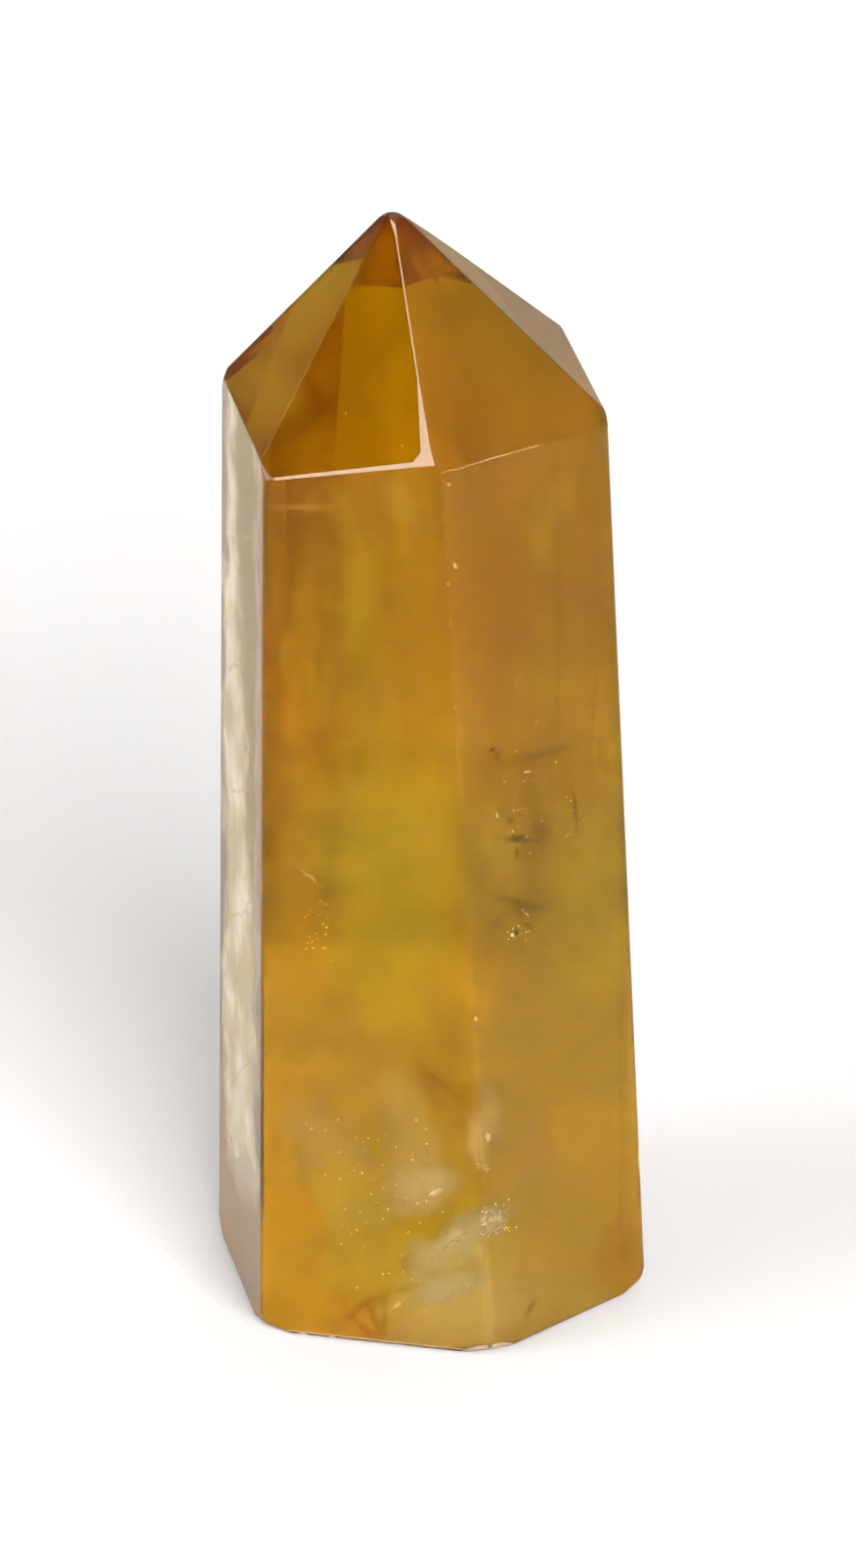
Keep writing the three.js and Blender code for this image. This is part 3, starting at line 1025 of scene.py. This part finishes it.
# the cloudy layer behind the faces of the foot: even in cover, its colour changing from place to place
cloudyFoot = {
    "layers": 8,
    "depth": 0.5,  # millimetres, as its wave is
    "wave": 0.18,
    "waveSize": 90,
    "waveSlice": 9,
    # places and sizes in the camera's frame
    "across": (269.5, 480, 740),  # left border, a column well inside the stone, one right of it
    "down": (830, 1379),
    "fade": (870, 1060),  # between these rows it comes in, give or take this much
    "fadeWander": 60,
    "steps": (84, 92),
    "borderSteps": 10,  # how many times the search for the border halves its step
    "ragged": 22,  # how far the spots' borders wander
    "raggedSize": 44,
    "raggedDetail": 3,
    "mottle": 0.12,
    "mottleSize": 60,
    "mottleSquash": 2,
    "mottleSlice": 5,
    "mottleDetail": 4,
    "tone": (0.84, 0.60, 0.08),
    "spotReach": 1.25,  # where a spot ends, in half sizes, and how soft its border is
    "spotSoft": 0.5,
    # each spot: middle, half length and half width, turn, colour and strength
    "spots": [
        ((395, 930), (74, 120), 0, (1.00, 0.79, 0.05), 1.0),
        ((590, 920), (120, 60), 85, (1.00, 0.76, 0.05), 1.0),
        ((294, 930), (120, 40), 90, (1.00, 0.66, 0.04), 1.0),
        ((345, 1110), (80, 46), 0, (0.90, 0.64, 0.14), 0.9),
        ((300, 1050), (50, 30), 0, (0.90, 0.62, 0.12), 0.9),
        ((560, 1080), (80, 60), 0, (0.80, 0.58, 0.06), 0.9),
        ((480, 950), (120, 34), 88, (1.00, 0.68, 0.04), 1.0),
        ((470, 1090), (70, 26), 88, (0.78, 0.53, 0.05), 0.8),
        ((610, 1190), (72, 60), 80, (0.98, 0.67, 0.04), 0.9),
        ((284, 1240), (150, 30), 90, (1.00, 0.64, 0.06), 0.8),
        ((313, 1101), (20, 18), 0, (1.00, 0.62, 0.06), 0.9),
        ((330, 1320), (60, 46), 0, (0.95, 0.66, 0.06), 0.9),
        ((345, 1172), (50, 46), 10, (0.88, 0.70, 0.38), 1.0),
        ((335, 1225), (50, 36), 0, (0.92, 0.72, 0.16), 0.9),
        ((425, 1168), (62, 30), 74, (0.90, 0.72, 0.36), 0.9),
        ((384, 1258), (50, 34), 20, (0.88, 0.72, 0.20), 0.9),
        # a painted shadow: the brownish line to the right of the milky dome
        ((474, 1128), (66, 15), 45, (0.72, 0.46, 0.05), 0.9),
        ((381, 1165), (14, 28), 0, (0.80, 0.60, 0.04), 1.0),
        ((398, 1232), (22, 14), 40, (0.84, 0.67, 0.06), 0.8),
        ((432, 1212), (40, 22), -14, (1.00, 0.86, 0.70), 0.9),
        ((440, 1250), (56, 16), -22, (0.88, 0.67, 0.04), 1.0),
        ((303, 1240), (34, 28), 20, (1.00, 0.61, 0.03), 1.0),
        ((292, 1338), (30, 26), 0, (1.00, 0.63, 0.03), 1.0),
        ((373, 1308), (44, 28), 0, (0.95, 0.74, 0.08), 0.9),
        ((318, 1300), (44, 7), -8, (0.80, 0.48, 0.03), 0.7),
        ((560, 1240), (60, 50), 0, (0.83, 0.62, 0.12), 0.8),
        ((520, 1315), (50, 40), 0, (0.98, 0.79, 0.30), 0.9),
        ((552, 1284), (40, 8), -60, (0.78, 0.52, 0.05), 0.8),
        ((570, 1332), (60, 24), -20, (0.89, 0.68, 0.22), 0.9),
        ((642, 1284), (28, 50), 0, (0.76, 0.44, 0.04), 1.0),
        ((544, 1178), (13, 24), 15, (0.88, 0.64, 0.30), 0.9),
        ((500, 1145), (36, 11), 95, (1.00, 0.82, 0.55), 0.9),
        ((560, 1150), (60, 7), 85, (0.80, 0.50, 0.04), 0.7),
        ((466, 1350), (66, 24), -8, (1.00, 0.82, 0.50), 1.0),
        ((494, 1372), (40, 8), -4, (0.90, 0.64, 0.14), 0.8),
        ((370, 1352), (40, 22), 0, (0.98, 0.58, 0.06), 0.9),
        ((470, 1270), (64, 17), -33, (1.00, 0.92, 0.90), 1.0),
        ((505, 1250), (20, 20), -40, (1.00, 0.94, 0.95), 1.0),
        ((450, 1318), (48, 15), -24, (1.00, 0.95, 1.00), 1.0),
        ((408, 1334), (32, 14), -35, (1.00, 0.82, 0.24), 1.0),
    ],
}


def footTone(look, spot):
    tone = look["tone"]
    for middle, halves, turn, colour, strength in look["spots"]:
        away = spot - Vector(middle)
        turn = math.radians(turn)
        along = (away.x * math.cos(turn) + away.y * math.sin(turn)) / halves[0]
        across = (away.y * math.cos(turn) - away.x * math.sin(turn)) / halves[1]
        share = smoothStep((look["spotReach"] - math.hypot(along, across)) / look["spotSoft"])
        tone = mixTone(share * strength, tone, colour)
    return tone


def lastInside(y, inside, outside, steps):
    # where a row of the camera's frame leaves the stone
    for _ in range(steps):
        middle = (inside + outside) / 2
        if insideAt(middle, y, 0):
            inside = middle
        else:
            outside = middle
    return inside


def footPoint(look, x, y):
    # a point of the layer: its place on the face, the way in, its wave, colour and share of cover
    fadeStart, fadeEnd = look["fade"]
    at = Vector((x, y, 0)) / look["raggedSize"]
    drift = noise.turbulence_vector(at, look["raggedDetail"], False) * look["ragged"]
    slow = noise.noise(Vector((x, y, look["waveSlice"])) / look["waveSize"])
    at = Vector((x, look["mottleSquash"] * y, look["mottleSlice"])) / look["mottleSize"]
    mottle = noise.turbulence(at, look["mottleDetail"], False)
    tone = footTone(look, Vector((x + drift.x, y + drift.y)))
    tone = [part * (1 + look["mottle"] * mottle) for part in tone]
    fade = smoothStep((y + slow * look["fadeWander"] - fadeStart) / (fadeEnd - fadeStart))
    front = insideAt(x, y, 0)
    return front, insideAt(x, y, mm) - front, slow * look["wave"], tone, fade


def makeFoot(look):
    columns, rows = look["steps"]
    left, middle, right = look["across"]
    top, bottom = look["down"]
    points = []
    for i in range(rows + 1):
        y = top + (bottom - top) * i / rows
        first = max(left, lastInside(y, middle, 2 * left - middle, look["borderSteps"]))
        last = lastInside(y, middle, right, look["borderSteps"])
        points += [footPoint(look, first + (last - first) * j / columns, y) for j in range(columns + 1)]
    sheets = Sheets()
    for layer in range(look["layers"]):
        verts = []
        for front, inward, wave, tone, fade in points:
            deeper = look["depth"] + wave + layer * sheetShape["layerGap"]
            verts.append(sheets.addPoint(front + inward * deeper, tone, fade * sheetShape["layerCover"]))
        for i in range(rows):
            for j in range(columns):
                at = i * (columns + 1) + j
                sheets.bm.faces.new([verts[at + step] for step in (0, 1, columns + 2, columns + 1)])
    sheets.build("cloudy_foot", hazeMaterial("cloudy_foot"))


makeFoot(cloudyFoot)
print("cloudy foot made")

# faint wisps all through the front of the stone, in the camera's frame, with turns in degrees and
# depths in millimetres
wisps = {
    "count": 110,
    "across": ((290, 415), (525, 640)),
    "down": (500, 1370),
    "halfLong": (20, 70),
    "halfWide": (6, 22),
    "turn": (65, 115),
    "depth": (0.8, 6.0),
    "cover": 0.22,
    "tones": ((1.00, 0.90, 0.25), (0.80, 0.48, 0.03)),
    "seed": 8,
}


def makeWisps(look):
    dice = random.Random(look["seed"])
    sheets = Sheets()
    for _ in range(look["count"]):
        middle = (dice.uniform(*dice.choice(look["across"])), dice.uniform(*look["down"]))
        halves = (dice.uniform(*look["halfLong"]), dice.uniform(*look["halfWide"]))
        tone = mixTone(dice.random() ** 2, *look["tones"])  # more of them are near the first tone
        turn = dice.uniform(*look["turn"])
        depth = dice.uniform(*look["depth"])
        sheets.addSoft(middle, halves, turn, depth, tone, look["cover"])
    sheets.build("faint_wisps", hazeMaterial("faint_wisps"))


makeWisps(wisps)
print("wisps made")

# crumbs and glints: the middle in the camera's frame, depth, count, scatter and size, the finish
# and the seed, with depth, scatter and size in millimetres
crumbs = {
    "feather_crumbs": ((545, 835), 0.5, 70, (5.4, 0.3, 6.0), (0.04, 0.11), "dark", 3),
    "feather_glints": ((550, 830), 0.6, 26, (5.4, 0.4, 6.0), (0.04, 0.09), "bright", 11),
    "lower_crumbs": ((530, 940), 0.5, 26, (3.2, 0.3, 2.2), (0.04, 0.11), "dark", 17),
    "lower_glints": ((528, 955), 0.5, 12, (1.6, 0.3, 1.2), (0.04, 0.09), "bright", 21),
    "base_glints": ((400, 1230), 0.7, 150, (9.0, 0.5, 11.0), (0.03, 0.09), "bright", 29),
    "streak_glints": ((504, 1250), 0.35, 120, (2.6, 0.15, 1.8), (0.04, 0.11), "bright", 31),
    "low_glints": ((320, 950), 0.6, 40, (2.4, 0.4, 4.0), (0.03, 0.09), "bright", 33),
    "stray_glints": ((440, 800), 15.0, 300, (17.0, 17.0, 44.0), (0.03, 0.07), "bright", 37),
}
crumbFinish = {
    "dark": {"colour": (0.16, 0.06, 0.008), "roughness": 0.6},
    "bright": {"colour": (1.0, 0.92, 0.68), "roughness": 0.2},
    "width": 0.6,  # of a crumb whose length is 1
    "flatness": 0.35,
    "nearest": 0.35,  # a crumb's throw from the middle is shortened, to this share at the most
    "margin": 0.15 * mm,
    "probe": 8,  # how far to each side the direction of the face is read, in the camera's frame
}


def crumbTree():
    # many tiny angular crumbs scattered about a place inside the stone
    tree = Tree("crumbs", {
        "Count": "Int", "Middle": "Vector", "Along": "Vector", "Inward": "Vector", "Upward": "Vector",
        "Least Size": "Float", "Most Size": "Float", "Width": "Float", "Flatness": "Float",
        "Nearest": "Float", "Margin": "Float", "Seed": "Int", "Stone": "Object", "Material": "Material",
    })
    inputs = tree.inputs
    wholeTurn = (6.28, 6.28, 6.28)
    nearSeed = tree.maths("ADD", inputs["Seed"], 5)
    sizeSeed = tree.maths("ADD", inputs["Seed"], 9)
    spots = tree.add("GeometryNodeMeshLine", {"Count": inputs["Count"], "Offset": (0, 0, 0)}).outputs["Mesh"]
    away = tree.random("FLOAT_VECTOR", (-1, -1, -1), (1, 1, 1), inputs["Seed"])
    away = tree.scaled(away, tree.random("FLOAT", inputs["Nearest"], 1.0, nearSeed))
    parts = tree.add("ShaderNodeSeparateXYZ", {"Vector": away}).outputs
    spot = inputs["Middle"]
    for part, way in (("X", "Along"), ("Y", "Inward"), ("Z", "Upward")):
        spot = tree.vector("ADD", spot, tree.scaled(inputs[way], parts[part]))
    spots = tree.add("GeometryNodeSetPosition", {"Geometry": spots, "Position": spot}).outputs["Geometry"]
    kept = keepInside(tree, spots)[0]
    crumb = tree.add("GeometryNodeMeshIcoSphere", {"Radius": 1.0, "Subdivisions": 1}).outputs["Mesh"]
    size = tree.random("FLOAT", inputs["Least Size"], inputs["Most Size"], sizeSeed)
    shape = {"X": 1.0, "Y": inputs["Width"], "Z": inputs["Flatness"]}
    shape = tree.add("ShaderNodeCombineXYZ", shape).outputs["Vector"]
    placed = tree.add("GeometryNodeInstanceOnPoints", {
        "Points": kept, "Instance": crumb, "Scale": tree.scaled(shape, size),
        "Rotation": tree.random("FLOAT_VECTOR", (0, 0, 0), wholeTurn, inputs["Seed"]),
    }).outputs["Instances"]
    tree.finish(placed, inputs["Material"])
    return tree


def makeCrumbs(kinds, looks):
    tree = crumbTree()
    probe = looks["probe"]
    materials = {}
    for name in ("dark", "bright"):
        finish = Finish(name + "_crumb")
        finish.set(Base_Color=looks[name]["colour"], Roughness=looks[name]["roughness"])
        materials[name] = finish.material
    for name, ((x, y), depth, count, scatter, size, kind, seed) in kinds.items():
        along = (insideAt(x + probe, y, 0) - insideAt(x - probe, y, 0)) * Vector((1, 1, 0))
        along.normalize()
        inward = Vector((0, 0, 1)).cross(along)
        tree.run(name, {
            "Count": count, "Middle": insideAt(x, y, depth * mm), "Along": along * scatter[0] * mm,
            "Inward": inward * scatter[1] * mm, "Upward": Vector((0, 0, scatter[2])) * mm,
            "Least Size": size[0] * mm, "Most Size": size[1] * mm, "Width": looks["width"],
            "Flatness": looks["flatness"], "Nearest": looks["nearest"], "Margin": looks["margin"],
            "Seed": seed, "Stone": stone, "Material": materials[kind],
        })


makeCrumbs(crumbs, crumbFinish)
print("crumbs made")

# many films lie behind one another, and each takes a bounce
scene.cycles.transparent_max_bounces = 32
scene.cycles.max_bounces = 16
scene.cycles.transmission_bounces = 16

studio = {
    "floorSize": 6,  # metres
    "floorGap": 0.2 * mm,
    "floorColour": (0.36, 0.36, 0.36),
    "farFloorShade": (0.19, 0.155, 0.09),
    "floorFade": (0.38, 0.60),  # the floor is painted darker and browner between these distances, in metres: a painted shade for the dim room around the stage that the crown faces reflect
    "floorRoughness": 0.9,
    "skyLow": 0.15,  # brightness of the sky near the horizon, in its bright band and overhead
    "skyBand": 1.20,
    "skyTop": 0.08,
    "skyRise": (0.12, 0.40),  # heights between which the band comes in and goes, 1 straight up
    "skyFall": (0.54, 0.66),
    "skyTint": (1.0, 0.98, 0.96),
    # soft boxes in the sky: where each one is, its half width in degrees and its brightness
    "softBoxes": {
        "front": ((0.30, -0.93, 0.22), 27, 54.0),
        "side": ((-0.92, -0.30, 0.30), 30, 12.0),
        "overhead": ((0.15, 0.32, 0.93), 32, 2.4),
    },
    "boxCore": 0.5,  # the share of the half width that has the whole brightness
}


def makeFloor(look):
    bpy.ops.mesh.primitive_plane_add(size=look["floorSize"])
    floor = bpy.context.object
    floor.name = "floor"
    floor.location.z = -look["floorGap"]
    finish = Finish("pale_floor")
    away = finish.add("ShaderNodeVectorMath", {0: finish.place()}, operation="LENGTH").outputs["Value"]
    # painted shade: the floor darkens and browns away from the stone
    far = finish.spread(away, *look["floorFade"])
    colour = finish.mix(far, look["floorColour"], look["farFloorShade"])
    finish.set(Base_Color=colour, Roughness=look["floorRoughness"])
    floor.data.materials.append(finish.material)


def makeSky(look):
    world = bpy.data.worlds.new("studio")
    scene.world = world
    world.use_nodes = True
    world.cycles.sampling_method = "NONE"  # most of its light reaches the haze through the stone's surface
    sky = Nodes(world.node_tree)
    direction = sky.add("ShaderNodeTexCoord").outputs["Generated"]
    height = sky.add("ShaderNodeSeparateXYZ", {"Vector": direction}).outputs["Z"]
    rise = sky.spread(height, *look["skyRise"], look["skyLow"], look["skyBand"], "SMOOTHSTEP")
    fall = sky.spread(height, *look["skyFall"], 1.0, look["skyTop"] / look["skyBand"], "SMOOTHSTEP")
    strength = sky.maths("MULTIPLY", rise, fall)
    for where, halfWidth, brightness in look["softBoxes"].values():
        facing = sky.dot(direction, Vector(where).normalized())
        rim = math.cos(math.radians(halfWidth))
        core = math.cos(math.radians(halfWidth * look["boxCore"]))
        box = sky.spread(facing, rim, core, 0.0, brightness, "SMOOTHSTEP")
        strength = sky.maths("ADD", strength, box)
    background = world.node_tree.nodes["Background"]
    feedSocket(sky.tree, background.inputs["Color"], look["skyTint"])
    feedSocket(sky.tree, background.inputs["Strength"], strength)


makeFloor(studio)
makeSky(studio)
scene.view_settings.view_transform = "Standard"
print("studio lit")
